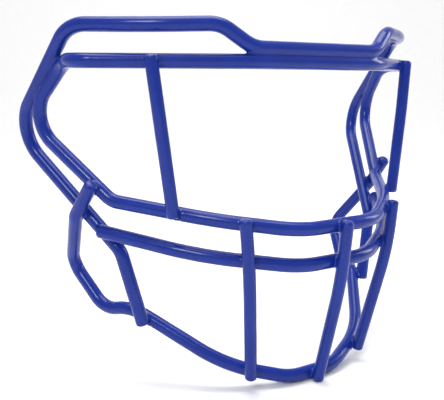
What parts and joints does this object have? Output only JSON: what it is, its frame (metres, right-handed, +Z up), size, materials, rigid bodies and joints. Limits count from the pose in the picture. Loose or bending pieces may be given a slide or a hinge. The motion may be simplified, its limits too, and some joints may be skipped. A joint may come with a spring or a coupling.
{
  "type": "football helmet face mask",
  "caption": "Lineman-style football face mask of welded round steel wire with a glossy blue polymer coat.",
  "frame": {"origin": "the centre of the mask's bounding box, on its symmetry plane", "axes": "+X to the wearer's left, -Y out of the front of the mask, +Z up as worn"},
  "size_m": [0.2284, 0.1206, 0.1761],
  "materials": {
    "blue_coat": "glossy dipped polymer",
    "steel_wire": "drawn wire",
    "weld": "resistance weld"
  },
  "bodies": {
    "root": {"outer_frame_wire": "steel_wire", "eye_loop_wire": "steel_wire", "lower_cross_wire": "steel_wire", "jaw_wire": "steel_wire", "left_eye_upright": "steel_wire", "right_eye_upright": "steel_wire", "left_front_upright": "steel_wire", "centre_front_upright": "steel_wire", "right_front_upright": "steel_wire", "brow_tack_welds": "weld", "temple_tack_welds": "weld", "eye_upright_brow_welds": "weld", "eye_upright_cheek_welds": "weld", "front_upright_top_welds": "weld", "front_upright_middle_welds": "weld", "front_upright_chin_welds": "weld", "cross_wire_end_welds": "weld", "jaw_wire_end_welds": "weld", "jaw_wire_side_welds": "weld", "outer_frame_end_welds": "weld", "outer_frame_coat": "blue_coat", "eye_loop_coat": "blue_coat", "lower_cross_coat": "blue_coat", "jaw_coat": "blue_coat", "left_eye_upright_coat": "blue_coat", "right_eye_upright_coat": "blue_coat", "left_front_upright_coat": "blue_coat", "centre_front_upright_coat": "blue_coat", "right_front_upright_coat": "blue_coat"}
  },
  "joints": []
}
